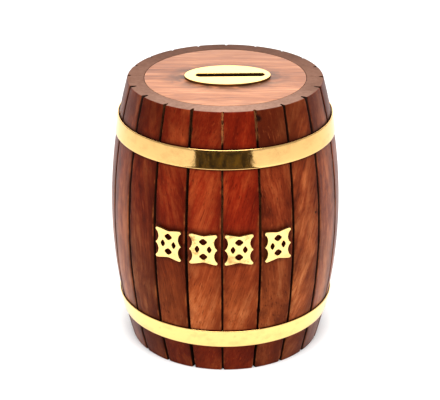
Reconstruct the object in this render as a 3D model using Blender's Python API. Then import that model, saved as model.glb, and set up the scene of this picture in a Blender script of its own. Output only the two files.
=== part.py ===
"""A barrel-shaped wooden money box.

Twenty wooden staves, bored straight and turned to a barrel outside, hold a head at each end
and are bound by two lapped brass hoops.  A brass plate frames the coin slot in the top head,
four pierced brass ornaments run round the front, and a brass door under the bottom head
swings on a screw once its lock screw is slackened.

Frame: origin at the middle of the base, +Z up, front towards -Y.  Metres and degrees.
Azimuth runs from the front (0) towards +X (90), round the back (180).
"""
import bpy
import bmesh
from math import asin, cos, pi, radians, sin
from mathutils import Matrix, Vector

# ---------------------------------------------------------------- driving dimensions
HEIGHT = 0.1270             # over the staves
END_RADIUS = 0.04445        # outside, at both ends
BELLY_RADIUS = 0.0530       # outside, at half height
BORE_RADIUS = 0.0345        # straight inside bore
HEAD_SEAT_RADIUS = 0.0369   # counterbore that takes each head
HEAD_THICKNESS = 0.0080
FOOT_RECESS = 0.0070        # bottom head above the foot of the staves
GAP = 0.0003                # between pieces that touch

STAVES = 20
STAVE_PITCH = 360.0 / STAVES
FIRST_JOINT = -1.0          # azimuth of the joint nearest the front
# How far each joint strays from even spacing, starting at the front joint, towards +X.
JOINT_DRIFT = (-0.5, 0, 0, 0, 1, 1, 0.5, 0, -0.5, 0, 0.5, 0, -0.5, 0, -0.5, -1, 0, 0, 0.5, 0)
GROOVE_WIDTH = 0.0012       # sawn or relieved groove along each joint
GROOVE_DEPTH = 0.0024
OUTER_STEPS = 8             # levels along the turned outside
STAVE_SPLITS = 3            # facets across one stave

HOOP_WIDTH = 0.0087
HOOP_THICKNESS = 0.0006
UPPER_HOOP_Z = 0.1069       # middle of the strip
LOWER_HOOP_Z = 0.0187
HOOP_LAP_START = 184.0      # azimuth of the inner end of the strip
HOOP_LAP = 9.0              # degrees that the outer end runs over the inner one
HOOP_STEP_UP = 4.0          # degrees taken to climb onto the inner end
HOOP_STEP_MARGIN = 1.0      # degrees short of the inner end where the climb is over
HOOP_FACET = 6.0

PLATE_HALF_LENGTH = 0.0195
PLATE_HALF_WIDTH = 0.01235
PLATE_THICKNESS = 0.0009
PLATE_CENTRE = (0.0010, -0.0008)
SLOT_LENGTH = 0.0313
SLOT_WIDTH = 0.0047
SLOT_CENTRE = (0.0022, -0.0008)
SLOT_TURN = 1.5             # plate and slot sit a little askew
HEAD_SLOT_MARGIN = 0.0004   # the slot in the wood is this much larger all round

ORNAMENT_AZIMUTHS = (-27.6, -10.3, 6.4, 25.3)
ORNAMENT_Z = 0.0661
ORNAMENT_HALF_WIDTH = 0.0066
ORNAMENT_HALF_HEIGHT = 0.0075
ORNAMENT_THICKNESS = 0.0012
ORNAMENT_BEVEL = 0.0003

DOOR_THICKNESS = 0.0012
DOOR_RADIUS = 0.0166
DOOR_REACH = 0.0180         # pivot to the middle of the outlet
DOOR_LOBE_RADIUS = 0.0055
OUTLET_RADIUS = 0.0136
WASHER_RADIUS = 0.0046
WASHER_THICKNESS = 0.0008
SCREW_SHANK_RADIUS = 0.0015
SCREW_HEAD_RADIUS = 0.0036
SCREW_HEAD_HEIGHT = 0.0019
SCREW_LENGTH = 0.0098       # under the head
SCREW_SLOT_WIDTH = 0.0008
SCREW_SLOT_DEPTH = 0.0008
LOCK_SCREW_AT = (0.0189, DOOR_REACH)
NAIL_SHANK_RADIUS = 0.0006
NAIL_HEAD_RADIUS = 0.0012
NAIL_HEAD_HEIGHT = 0.0006
NAIL_LENGTH = 0.0065
NAIL_SPREAD = 2.4           # degrees between the two nails of a lap

# ---------------------------------------------------------------- materials
# name: (colour, roughness, metallic)
FINISHES = {
    "stave_wood": ((0.27, 0.085, 0.035), 0.42, 0.0),
    "head_wood": ((0.62, 0.30, 0.16), 0.45, 0.0),
    "bottom_wood": ((0.36, 0.16, 0.08), 0.60, 0.0),
    "brass": ((0.86, 0.62, 0.24), 0.25, 1.0),
    "screw_brass": ((0.72, 0.52, 0.22), 0.35, 1.0),
}


def material(name):
    """The named finish, made once."""
    found = bpy.data.materials.get(name)
    if found:
        return found
    colour, roughness, metallic = FINISHES[name]
    made = bpy.data.materials.new(name)
    made.use_nodes = True
    made.diffuse_color = (*colour, 1.0)
    shader = made.node_tree.nodes["Principled BSDF"]
    shader.inputs["Base Color"].default_value = (*colour, 1.0)
    shader.inputs["Roughness"].default_value = roughness
    shader.inputs["Metallic"].default_value = metallic
    return made


# ---------------------------------------------------------------- geometry helpers
def outer_radius(z):
    """Radius of the turned outside at height z."""
    rise = 2.0 * z / HEIGHT - 1.0
    return END_RADIUS + (BELLY_RADIUS - END_RADIUS) * (1.0 - rise * rise)


def around(azimuth, radius, z, shift=0.0):
    """A point at an azimuth and radius, moved shift metres sideways towards +azimuth."""
    a = radians(azimuth)
    return Vector((radius * sin(a) + shift * cos(a), -radius * cos(a) + shift * sin(a), z))


def joint_azimuth(index):
    """Azimuth of a joint between staves; the count may run past a full turn."""
    turns, k = divmod(index, STAVES)
    return FIRST_JOINT + STAVE_PITCH * k + JOINT_DRIFT[k] + 360.0 * turns


def add_object(name, bm, finish, smooth=True):
    """Finish a bmesh as a named object with its material."""
    bmesh.ops.recalc_face_normals(bm, faces=bm.faces[:])
    mesh = bpy.data.meshes.new(name)
    bm.to_mesh(mesh)
    bm.free()
    mesh.materials.append(material(finish))
    obj = bpy.data.objects.new(name, mesh)
    bpy.context.collection.objects.link(obj)
    if smooth:
        mesh.shade_smooth()
        mesh.set_sharp_from_angle(angle=radians(35))
    return obj


def prism(name, outlines, z_low, z_high, finish, smooth=True):
    """A plate between two heights: the first outline is its edge, the others are holes."""
    bm = bmesh.new()
    edges = []
    for outline in outlines:
        ring = [bm.verts.new((x, y, z_low)) for x, y in outline]
        edges += [bm.edges.new((a, b)) for a, b in zip(ring, ring[1:] + ring[:1])]
    filled = bmesh.ops.triangle_fill(bm, use_beauty=True, use_dissolve=False, edges=edges)
    faces = [g for g in filled["geom"] if isinstance(g, bmesh.types.BMFace)]
    raised = bmesh.ops.extrude_face_region(bm, geom=faces)
    top = [g for g in raised["geom"] if isinstance(g, bmesh.types.BMVert)]
    bmesh.ops.translate(bm, vec=(0.0, 0.0, z_high - z_low), verts=top)
    return add_object(name, bm, finish, smooth)


def circle(radius, steps, centre=(0.0, 0.0)):
    return [(centre[0] + radius * cos(2 * pi * i / steps), centre[1] + radius * sin(2 * pi * i / steps))
            for i in range(steps)]


def turned_about(points, centre, turn):
    """Points of a flat outline turned about its own origin, then moved to centre."""
    c, s = cos(radians(turn)), sin(radians(turn))
    return [(centre[0] + x * c - y * s, centre[1] + x * s + y * c) for x, y in points]


def slot_outline(length, width, steps=6):
    """A slot with round ends, long way along X."""
    r = width / 2
    half = length / 2 - r
    right = [(half + r * cos(a), r * sin(a)) for a in (-pi / 2 + pi * i / steps for i in range(steps + 1))]
    return right + [(-x, -y) for x, y in right]


def turned(name, profile, steps, finish):
    """A solid turned about Z from (radius, z) points that start and end on the axis."""
    bm = bmesh.new()
    rings = []
    for radius, z in profile:
        if radius == 0.0:
            rings.append([bm.verts.new((0.0, 0.0, z))])
        else:
            rings.append([bm.verts.new((x, y, z)) for x, y in circle(radius, steps)])
    for low, high in zip(rings, rings[1:]):
        for i in range(steps):
            j = (i + 1) % steps
            corners = [low[i % len(low)], low[j % len(low)], high[j % len(high)], high[i % len(high)]]
            bm.faces.new(list(dict.fromkeys(corners)))
    return add_object(name, bm, finish)


def cut(target, cutter):
    """Subtract a hidden cutter from a piece."""
    cutter.hide_render = True
    cutter.display_type = "WIRE"
    boolean = target.modifiers.new("cut " + cutter.name, "BOOLEAN")
    boolean.operation = "DIFFERENCE"
    boolean.solver = "EXACT"
    boolean.object = cutter


# ---------------------------------------------------------------- staves
def stave(index):
    """One stave: straight bore inside, turned outside, a relieved edge along both joints."""
    first, last = joint_azimuth(index), joint_azimuth(index + 1)
    inner_profile = [
        (HEAD_SEAT_RADIUS, HEIGHT),
        (HEAD_SEAT_RADIUS, HEIGHT - HEAD_THICKNESS - GAP),
        (BORE_RADIUS, HEIGHT - HEAD_THICKNESS - GAP),
        (BORE_RADIUS, FOOT_RECESS + HEAD_THICKNESS + GAP),
        (HEAD_SEAT_RADIUS, FOOT_RECESS + HEAD_THICKNESS + GAP),
        (HEAD_SEAT_RADIUS, 0.0),
    ]
    levels = [HEIGHT * i / OUTER_STEPS for i in range(OUTER_STEPS + 1)]
    outer_profile = [(outer_radius(z), z) for z in levels]
    floor_profile = [(r - GROOVE_DEPTH, z) for r, z in outer_profile]

    bm = bmesh.new()

    def column(profile, azimuth, shift):
        return [bm.verts.new(around(azimuth, r, z, shift)) for r, z in profile]

    half_gap, half_groove = GAP / 2, GROOVE_WIDTH / 2
    middle = [first + (last - first) * i / STAVE_SPLITS for i in range(1, STAVE_SPLITS)]
    inner, floor = [], []
    for azimuth, shift in ((first, half_gap), (first, half_groove), (last, -half_groove), (last, -half_gap)):
        inner.append(column(inner_profile, azimuth, shift))
        floor.append(column(floor_profile, azimuth, shift))
    inner_middle = [column(inner_profile, azimuth, 0.0) for azimuth in middle]
    outer = [column(outer_profile, first, half_groove)]
    outer += [column(outer_profile, azimuth, 0.0) for azimuth in middle]
    outer.append(column(outer_profile, last, -half_groove))

    def strip(one, other):
        for a, b, c, d in zip(one, one[1:], other[1:], other):
            bm.faces.new((a, b, c, d))

    bore = [inner[0], inner[1], *inner_middle, inner[2], inner[3]]
    for one, other in zip(bore, bore[1:]):
        strip(one, other)
    for one, other in zip(outer, outer[1:]):
        strip(one, other)
    for floor_pair in ((floor[0], floor[1]), (floor[2], floor[3])):
        strip(*floor_pair)
    strip(floor[1], outer[0])
    strip(outer[-1], floor[2])
    for side in (0, 3):
        bm.faces.new(inner[side] + floor[side])
    for end_inner, end_outer in ((0, -1), (-1, 0)):
        for near, far in ((0, 1), (3, 2)):
            bm.faces.new((inner[near][end_inner], inner[far][end_inner], floor[far][end_outer],
                          floor[near][end_outer]))
        crown = [column_[end_outer] for column_ in outer]
        back = [column_[end_inner] for column_ in (inner[1], *inner_middle, inner[2])]
        bm.faces.new([floor[1][end_outer], *crown, floor[2][end_outer], *reversed(back)])
    return add_object(f"stave_{index + 1:02d}", bm, "stave_wood")


# ---------------------------------------------------------------- hoops and their nails
def hoop(name, z_middle):
    """A brass strip bent round the barrel, its outer end lapped over its inner end."""
    z_low, z_high = z_middle - HOOP_WIDTH / 2, z_middle + HOOP_WIDTH / 2
    sweep = 360.0 + HOOP_LAP
    steps = round(sweep / HOOP_FACET)
    climb_end = 360.0 - HOOP_STEP_MARGIN
    stops = {sweep * i / steps for i in range(steps + 1)}
    stops |= {climb_end - HOOP_STEP_UP, climb_end}
    bm = bmesh.new()
    sections = []
    for s in sorted(stops):
        climb = min(1.0, max(0.0, (s - climb_end + HOOP_STEP_UP) / HOOP_STEP_UP))
        lift = GAP + climb * (HOOP_THICKNESS + GAP)
        corners = [(z_low, lift), (z_low, lift + HOOP_THICKNESS),
                   (z_high, lift + HOOP_THICKNESS), (z_high, lift)]
        sections.append([bm.verts.new(around(HOOP_LAP_START + s, outer_radius(z) + rise, z))
                         for z, rise in corners])
    for one, other in zip(sections, sections[1:]):
        for i in range(4):
            j = (i + 1) % 4
            bm.faces.new((one[i], one[j], other[j], other[i]))
    bm.faces.new(sections[0])
    bm.faces.new(sections[-1])
    return add_object(name, bm, "brass")


def pointing_out(azimuth, radius, z):
    """Placement whose local +Z points straight out of the barrel's side."""
    a = radians(azimuth)
    upright = Matrix.Rotation(a, 4, "Z") @ Matrix.Rotation(pi / 2, 4, "X")
    return Matrix.Translation(around(azimuth, radius, z)) @ upright


def hoop_nails(hoop_object, prefix, z_middle, staves_by_azimuth):
    """Two round-headed brass nails through the lap into the stave behind it."""
    lap_middle = HOOP_LAP_START + HOOP_LAP / 2
    seat = outer_radius(z_middle) + 2 * (GAP + HOOP_THICKNESS) + GAP
    profile = [(0.0, NAIL_HEAD_HEIGHT), (NAIL_HEAD_RADIUS * 0.7, NAIL_HEAD_HEIGHT * 0.75),
               (NAIL_HEAD_RADIUS, 0.0), (NAIL_SHANK_RADIUS, 0.0), (NAIL_SHANK_RADIUS, -NAIL_LENGTH),
               (0.0, -NAIL_LENGTH - NAIL_SHANK_RADIUS)]
    hole_radius = NAIL_SHANK_RADIUS + GAP
    hole_end = -NAIL_LENGTH - NAIL_SHANK_RADIUS - GAP
    hole = [(0.0, NAIL_HEAD_HEIGHT), (hole_radius, NAIL_HEAD_HEIGHT),
            (hole_radius, hole_end), (0.0, hole_end)]
    # The head stands on the strip, so its seat follows the slope of the staves.
    slope = (outer_radius(z_middle + HOOP_WIDTH / 2) - outer_radius(z_middle - HOOP_WIDTH / 2)) / HOOP_WIDTH
    lean = Matrix.Rotation(-slope, 4, "X")
    for number, side in ((1, -1), (2, 1)):
        azimuth = lap_middle + side * NAIL_SPREAD / 2
        place = pointing_out(azimuth, seat, z_middle) @ lean
        nail = turned(f"{prefix}_nail_{number}", profile, 10, "brass")
        nail.matrix_world = place
        cutter = turned(f"cutter {prefix} nail {number}", hole, 10, "brass")
        cutter.matrix_world = place
        cut(hoop_object, cutter)
        cut(staves_by_azimuth(azimuth), cutter)


# ---------------------------------------------------------------- heads, plate and ornaments
def slot_at(length, width):
    return turned_about(slot_outline(length, width), SLOT_CENTRE, SLOT_TURN)


def top_head():
    """Light wooden disc, flush with the stave ends, with the coin slot through it."""
    margin = 2 * HEAD_SLOT_MARGIN
    outlines = [circle(HEAD_SEAT_RADIUS - GAP, 48), slot_at(SLOT_LENGTH + margin, SLOT_WIDTH + margin)]
    return prism("top_head", outlines, HEIGHT - HEAD_THICKNESS, HEIGHT, "head_wood")


def slot_plate():
    """Oval brass plate round the coin slot."""
    oval = [(PLATE_HALF_LENGTH * x, PLATE_HALF_WIDTH * y) for x, y in circle(1.0, 40)]
    outlines = [turned_about(oval, PLATE_CENTRE, SLOT_TURN), slot_at(SLOT_LENGTH, SLOT_WIDTH)]
    low = HEIGHT + GAP
    return prism("slot_plate", outlines, low, low + PLATE_THICKNESS, "brass")


def ornament_outlines():
    """Plain fretwork cartouche, its own outline first and then its four lozenge piercings.

    Flared corners, drawn-in sides with a small spur halfway up, a dip in the top and bottom.
    """
    w, h = ORNAMENT_HALF_WIDTH, ORNAMENT_HALF_HEIGHT
    quarter = [(w, 0.0), (0.84 * w, 0.13 * h), (0.74 * w, 0.40 * h), (0.82 * w, 0.70 * h), (w, 0.86 * h),
               (0.92 * w, h), (0.45 * w, 0.93 * h)]
    top = quarter + [(0.0, 0.84 * h)] + [(-x, y) for x, y in reversed(quarter)]
    outlines = [top + [(x, -y) for x, y in reversed(top[1:-1])]]
    for x, y, across, tall in ((0.0, 0.48, 0.34, 0.25), (0.0, -0.48, 0.34, 0.25),
                               (0.42, 0.0, 0.20, 0.27), (-0.42, 0.0, 0.20, 0.27)):
        outlines.append([((x + across) * w, y * h), (x * w, (y + tall) * h), ((x - across) * w, y * h),
                         (x * w, (y - tall) * h)])
    return outlines


def ornament(number, azimuth):
    """Pierced brass ornament glued flat against the belly."""
    piece = prism(f"ornament_{number}", ornament_outlines(), 0.0, ORNAMENT_THICKNESS, "brass", smooth=False)
    bevel = piece.modifiers.new("edge", "BEVEL")
    bevel.width = ORNAMENT_BEVEL
    bevel.segments = 1
    bevel.limit_method = "ANGLE"
    bevel.angle_limit = radians(60)
    # Flat back: it touches along the middle of its stave and clears it at the edges.
    piece.matrix_world = pointing_out(azimuth, outer_radius(ORNAMENT_Z) + GAP, ORNAMENT_Z)
    return piece


# ---------------------------------------------------------------- coin door under the bottom head
def teardrop(reach, big, small, steps=36):
    """Outline of two circles, reach apart along Y, wrapped by their common tangents."""
    lean = asin((big - small) / reach)
    outline = []
    for i in range(steps + 1):
        a = -lean + (pi + 2 * lean) * i / steps
        outline.append((big * cos(a), reach + big * sin(a)))
    small_steps = steps // 3
    for i in range(small_steps + 1):
        a = pi + lean + (pi - 2 * lean) * i / small_steps
        outline.append((small * cos(a), small * sin(a)))
    return outline


def screw(name, place_z, at):
    """Round-headed slotted wood screw driven upwards, head lowest."""
    h, r = SCREW_HEAD_HEIGHT, SCREW_HEAD_RADIUS
    profile = [(0.0, -h), (r * 0.45, -h * 0.9), (r * 0.8, -h * 0.6), (r, -h * 0.15), (r, 0.0),
               (SCREW_SHANK_RADIUS, 0.0), (SCREW_SHANK_RADIUS, SCREW_LENGTH - 0.002), (0.0, SCREW_LENGTH)]
    piece = turned(name, profile, 20, "screw_brass")
    piece.location = (at[0], at[1], place_z)
    half = SCREW_SLOT_WIDTH / 2
    blade = [(-r - GAP, -half), (r + GAP, -half), (r + GAP, half), (-r - GAP, half)]
    cutter = prism(f"cutter {name}", [blade], -h - GAP, -h + SCREW_SLOT_DEPTH, "screw_brass")
    cutter.parent = piece
    cut(piece, cutter)
    return piece


def washer(name, z_low, at):
    outlines = [circle(WASHER_RADIUS, 24), circle(SCREW_SHANK_RADIUS + GAP, 16)]
    piece = prism(name, outlines, 0.0, WASHER_THICKNESS, "screw_brass")
    piece.location = (at[0], at[1], z_low)
    return piece


def base():
    """Bottom head with its outlet, and the door, screws and washers that close it."""
    pivot = (0.0, 0.0)
    door_low = FOOT_RECESS - GAP - DOOR_THICKNESS
    washer_low = door_low - GAP - WASHER_THICKNESS
    screw_seat = washer_low - GAP
    head_low, head_high = FOOT_RECESS, FOOT_RECESS + HEAD_THICKNESS
    outlines = [circle(HEAD_SEAT_RADIUS - GAP, 48), circle(OUTLET_RADIUS, 32, (0.0, DOOR_REACH))]
    head = prism("bottom_head", outlines, head_low, head_high, "bottom_wood")
    hole_radius = SCREW_SHANK_RADIUS + GAP
    hole_top = screw_seat + SCREW_LENGTH + GAP
    for name, at in (("pivot", pivot), ("lock", LOCK_SCREW_AT)):
        outline = [circle(hole_radius, 16, at)]
        hole = prism(f"cutter {name} hole", outline, head_low - GAP, hole_top, "bottom_wood")
        cut(head, hole)

    outline = teardrop(DOOR_REACH, DOOR_RADIUS, DOOR_LOBE_RADIUS)
    door = prism("coin_door", [outline, circle(hole_radius, 16)], 0.0, DOOR_THICKNESS, "brass")
    door.location = (pivot[0], pivot[1], door_low)
    screw("pivot_screw", screw_seat, pivot)
    washer("pivot_washer", washer_low, pivot)
    screw("lock_screw", screw_seat, LOCK_SCREW_AT)
    washer("lock_washer", washer_low, LOCK_SCREW_AT)


# ---------------------------------------------------------------- the whole box
def main():
    for old in list(bpy.data.objects):
        bpy.data.objects.remove(old, do_unlink=True)

    staves = [stave(index) for index in range(STAVES)]

    def stave_at(azimuth):
        return next(staves[k] for k in range(STAVES) if joint_azimuth(k) <= azimuth < joint_azimuth(k + 1))

    for name, z_middle in (("upper_hoop", UPPER_HOOP_Z), ("lower_hoop", LOWER_HOOP_Z)):
        strip = hoop(name, z_middle)
        hoop_nails(strip, name, z_middle, stave_at)

    top_head()
    slot_plate()
    for number, azimuth in enumerate(ORNAMENT_AZIMUTHS, start=1):
        ornament(number, azimuth)
    base()


main()
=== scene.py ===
"""Looks for the barrel money box: turned staves with relieved joints, lapped brass hoops,
a slotted plate, pierced ornaments, a coin door underneath, and a bright studio.

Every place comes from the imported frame.  Metres; azimuth 0 is the front (-Y), 90 is +X.
"""
from math import asin, atan2, cos, degrees, hypot, pi, radians, sin

import bmesh
import bpy
from mathutils import Matrix, Vector, noise


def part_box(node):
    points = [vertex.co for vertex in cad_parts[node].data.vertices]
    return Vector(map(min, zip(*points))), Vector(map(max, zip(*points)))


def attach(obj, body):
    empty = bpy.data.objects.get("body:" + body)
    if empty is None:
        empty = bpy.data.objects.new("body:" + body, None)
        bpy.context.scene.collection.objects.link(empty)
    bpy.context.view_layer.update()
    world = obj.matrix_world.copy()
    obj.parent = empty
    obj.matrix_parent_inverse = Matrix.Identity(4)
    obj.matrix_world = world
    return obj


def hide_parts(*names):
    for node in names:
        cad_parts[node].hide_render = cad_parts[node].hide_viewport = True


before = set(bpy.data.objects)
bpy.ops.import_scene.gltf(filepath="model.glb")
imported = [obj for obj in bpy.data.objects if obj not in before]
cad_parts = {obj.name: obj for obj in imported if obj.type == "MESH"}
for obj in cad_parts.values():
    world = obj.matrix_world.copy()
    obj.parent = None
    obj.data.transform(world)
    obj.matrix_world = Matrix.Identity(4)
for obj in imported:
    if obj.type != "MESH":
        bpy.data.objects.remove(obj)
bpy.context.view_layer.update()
MM = 0.001


# ---------------- what the frame says
def vertices(node):
    return [v.co.copy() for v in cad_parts[node].data.vertices]


def azimuth_of(point):
    return degrees(atan2(point.x, -point.y))


def azimuth_gap(a, b):
    """Signed degrees from a to b, the short way round."""
    return (b - a + 180.0) % 360.0 - 180.0


def middle_of(corners):
    return (corners[0] + corners[1]) / 2


def fraction(value, low, high):
    """How far value is on the way from low to high, 0 to 1; low may be the larger."""
    return min(1.0, max(0.0, (value - low) / (high - low)))


STAVE_NODES = sorted(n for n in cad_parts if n.startswith("stave_"))
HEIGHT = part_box(STAVE_NODES[0])[1].z
STAVE_POINTS = {n: vertices(n) for n in STAVE_NODES}
ALL_STAVE_POINTS = [p for points in STAVE_POINTS.values() for p in points]


def widest(points, z, reach=1 * MM):
    return max(hypot(p.x, p.y) for p in points if abs(p.z - z) < reach)


END_RADIUS = widest(ALL_STAVE_POINTS, 0.0)
BELLY_RADIUS = widest(ALL_STAVE_POINTS, HEIGHT / 2)
BORE_RADIUS = min(hypot(p.x, p.y) for p in ALL_STAVE_POINTS)
TOP_HEAD_LOW, TOP_HEAD_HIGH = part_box("top_head")
BOTTOM_HEAD_LOW, BOTTOM_HEAD_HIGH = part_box("bottom_head")
HEAD_SEAT_RADIUS = min(hypot(p.x, p.y) for p in ALL_STAVE_POINTS if p.z > HEIGHT - MM)
NEAR_BORE = 5 * MM          # a stave's points closer to the bore than this are its inner corners


def stave_span(name):
    """Azimuth of a stave's middle and of its two sides."""
    points = [p for p in STAVE_POINTS[name] if hypot(p.x, p.y) < BORE_RADIUS + NEAR_BORE]
    middle = azimuth_of(sum(points, Vector()) / len(points))
    sides = [azimuth_gap(middle, azimuth_of(p)) for p in points]
    return middle, middle + min(sides), middle + max(sides)


SPANS = [stave_span(n) for n in STAVE_NODES]
STAVES = len(SPANS)


def joint_azimuth(k):
    """Azimuth of the joint on the low side of stave k, on k's own turn."""
    low = SPANS[k % STAVES][1]
    return low + azimuth_gap(low, SPANS[(k - 1) % STAVES][2]) / 2


def outer_radius(z):
    rise = 2.0 * z / HEIGHT - 1.0
    return END_RADIUS + (BELLY_RADIUS - END_RADIUS) * (1.0 - rise * rise)


def around(azimuth, radius, z):
    a = radians(azimuth)
    return Vector((radius * sin(a), -radius * cos(a), z))


def ornament_place(node):
    """Azimuth and height of an ornament's middle, its half width and its half height."""
    points = vertices(node)
    low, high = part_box(node)
    middle = middle_of((low, high))
    a = radians(azimuth_of(middle))
    half = max(abs((p - middle).dot(Vector((cos(a), sin(a), 0)))) for p in points)
    return degrees(a), middle.z, half, (high.z - low.z) / 2


ORNAMENTS = {n: ornament_place(n) for n in sorted(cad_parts) if n.startswith("ornament_")}
HOOP_EDGES = [(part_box(n)[0].z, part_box(n)[1].z) for n in ("lower_hoop", "upper_hoop")]


# ---------------- material graphs
class Graph:
    """A Principled material with short ways to add nodes to it."""

    def __init__(self, name):
        self.material = bpy.data.materials.new(name)
        self.material.use_nodes = True
        self.tree = self.material.node_tree
        self.shader = self.tree.nodes["Principled BSDF"]

    def put(self, socket, value):
        if isinstance(value, bpy.types.NodeSocket):
            self.tree.links.new(value, socket)
        else:
            socket.default_value = value

    def node(self, kind, inputs=None, **settings):
        made = self.tree.nodes.new("ShaderNode" + kind)
        for key, value in settings.items():
            setattr(made, key, value)
        for key, value in (inputs or {}).items():
            self.put(made.inputs[key], value)
        return made

    def math(self, operation, a, b=0.0, clamp=False):
        return self.node("Math", {0: a, 1: b}, operation=operation, use_clamp=clamp).outputs[0]

    def times(self, a, b):
        return self.math("MULTIPLY", a, b)

    def plus(self, a, b):
        return self.math("ADD", a, b)

    def blend(self, *weighted):
        """Sum of (value, weight) pairs."""
        total = self.times(*weighted[0])
        for value, weight in weighted[1:]:
            total = self.plus(total, self.times(value, weight))
        return total

    def vector(self, operation, a, b):
        return self.node("VectorMath", {0: a, 1: b}, operation=operation).outputs[0]

    def parts(self, vector):
        """The x, y and z of a vector."""
        return self.node("SeparateXYZ", {0: vector}).outputs

    def span(self, value, low, high, to_low=0.0, to_high=1.0):
        """value between low and high, as a number between to_low and to_high; low may be the larger."""
        made = self.node("MapRange", {0: value, 1: low, 2: high, 3: to_low, 4: to_high}, clamp=True)
        return made.outputs[0]

    def mix(self, factor, a, b, blend="MIX"):
        made = self.node("Mix", {"Factor": factor}, data_type="RGBA", blend_type=blend)
        self.put(made.inputs[6], a)
        self.put(made.inputs[7], b)
        return made.outputs[2]

    def ramp(self, factor, stops):
        made = self.node("ValToRGB", {"Fac": factor})
        elements = made.color_ramp.elements
        while len(elements) < len(stops):
            elements.new(0.5)
        for element, (place, colour) in zip(elements, stops):
            element.position = place
            element.color = (*colour, 1.0)
        return made.outputs[0]

    def scaled(self, vector, scale):
        return self.vector("MULTIPLY", vector, scale)

    def noise(self, vector, scale, detail=2.0, rough=0.5, distortion=0.0):
        made = self.node("TexNoise", {"Vector": self.scaled(vector, scale), "Scale": 1.0, "Detail": detail,
                                      "Roughness": rough, "Distortion": distortion})
        return made.outputs["Fac"]

    def drift(self, vector, scale):
        """A slowly changing vector, each of its parts near 0.5."""
        made = self.node("TexNoise", {"Vector": self.scaled(vector, scale), "Scale": 1.0, "Detail": 2.0})
        return made.outputs["Color"]

    def place(self):
        return self.node("TexCoord").outputs["Object"]

    def turned(self, vector, axis, angle):
        return self.node("VectorRotate", {"Vector": vector, "Axis": axis, "Angle": angle}).outputs[0]

    def attribute(self, name):
        return self.node("Attribute", attribute_name=name).outputs["Fac"]

    def bump(self, height, distance, strength=1.0, under=None):
        inputs = {"Height": height, "Distance": distance, "Strength": strength}
        if under:
            inputs["Normal"] = under
        return self.node("Bump", inputs).outputs[0]

    def finish(self, **sockets):
        for key, value in sockets.items():
            self.put(self.shader.inputs[key if key.isupper() else key.replace("_", " ").title()], value)
        return self.material


def rgb(*values):
    return (*values, 1.0)


def shade(colour, factor):
    return rgb(*(factor * v for v in colour))


# ---------------- wood
UP = (0.0, 0.0, 1.0)
SIDE_AZIMUTH = 40.0         # staves further round than this show a bolder figure
GLOSSY_AZIMUTH = 55.0       # and further than this a glossier varnish
# Lower down the wood is browner and lighter, partly its own tone and partly painted bounce light from the
# floor; under the lower hoop it is darker again as painted shade.
BROWN_FROM, BROWN_FULL = 78 * MM, 40 * MM       # the wood turns browner on the way down
FOOT_FROM, FOOT_FULL = 16.5 * MM, 13.5 * MM     # and dark again under the lower hoop
FIGURE_MIDDLE = 0.49        # value of the figure that takes a stave's middle colour
# Figure values from the middle colour to the darkest and lightest, in the red and in the browner
# wood, and how strongly it is blotched.
FRONT_FIGURE, SIDE_FIGURE = (0.135, 0.175, 0.50), (0.112, 0.125, 0.68)
LOW_WOOD_AND_BOUNCE = ((0.130, 0.0240, 0.0050), (0.300, 0.0700, 0.0165), (0.510, 0.1750, 0.0580))
FOOT_SHADE = (0.076, 0.0140, 0.0028)
# Ornaments darken the staves round them as painted shadow.
ORNAMENT_SHADOW_REACH = 12.0           # degrees beyond a stave's sides in which an ornament still darkens it
FIBRE_TINT, KNOT_COLOUR = (0.78, 0.70, 0.66), (0.004, 0.0015, 0.0008)
WORN_LIP, GROOVE_INSIDE, FILLER = (0.42, 0.12, 0.030), (0.012, 0.004, 0.002), (0.27, 0.090, 0.028)
# Colour of the painted shadow round the slot plate.
PLATE_SHADOW = (0.045, 0.028, 0.020)
BEHIND_FROM, BEHIND_FULL = 4 * MM, 34 * MM      # y over which the disc darkens towards the back
# Reach of the painted shade from the hoop edges (negative is downwards): above and below the upper
# hoop, then above and below the lower one.
HOOP_SHADE_REACH = (2.4 * MM, -1.3 * MM, 1.2 * MM, -1.0 * MM)


def shadowed(g, height):
    """Painted shade beside the hoops, crisp at their edges: nearly 1 against a hoop, 0 a little way off."""
    (lower_low, lower_high), (upper_low, upper_high) = HOOP_EDGES
    total = 0.0
    for edge, reach in zip((upper_high, upper_low, lower_high, lower_low), HOOP_SHADE_REACH):
        behind = -1.0 * MM if reach > 0 else 1.0 * MM
        hidden = g.span(height, edge + 1.5 * behind, edge + behind)
        beside = g.times(g.span(height, edge + reach, edge), hidden)
        crisp = g.times(g.span(height, edge - 0.55 * behind, edge - 0.25 * behind), hidden)
        total = g.math("MAXIMUM", total, g.blend((beside, 0.62), (crisp, 0.33)))
    return total


def ornament_shadow(g, azimuth, z, half_width, half_height):
    """Painted shadow of an ornament: 1 under it, falling to 0 a little way outside it."""
    x, _, height = g.parts(g.turned(g.place(), UP, -radians(azimuth)))
    across = g.math("SUBTRACT", g.math("ABSOLUTE", x), half_width)
    along = g.math("SUBTRACT", g.math("ABSOLUTE", g.math("SUBTRACT", height, z)), half_height)
    return g.span(g.math("MAXIMUM", across, along), 2.0 * MM, -0.6 * MM)


def knot(g, azimuth, z, radius):
    """1 in a small round knot at a place on the stave, 0 outside it."""
    spot = around(azimuth, outer_radius(z), z)
    bumpy = g.times(g.noise(g.place(), (900, 900, 900), 2.0), 0.9 * radius)
    away = g.node("VectorMath", {0: g.place(), 1: tuple(spot)}, operation="DISTANCE").outputs["Value"]
    return g.span(g.plus(away, bumpy), 1.5 * radius, 0.9 * radius)


def figured(g, value, spread, colours):
    """Ramp from the dark to the light one of three colours, spread either side of the middle."""
    stops = (FIGURE_MIDDLE - spread, FIGURE_MIDDLE, FIGURE_MIDDLE + spread)
    return g.ramp(value, list(zip(stops, colours)))


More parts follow.
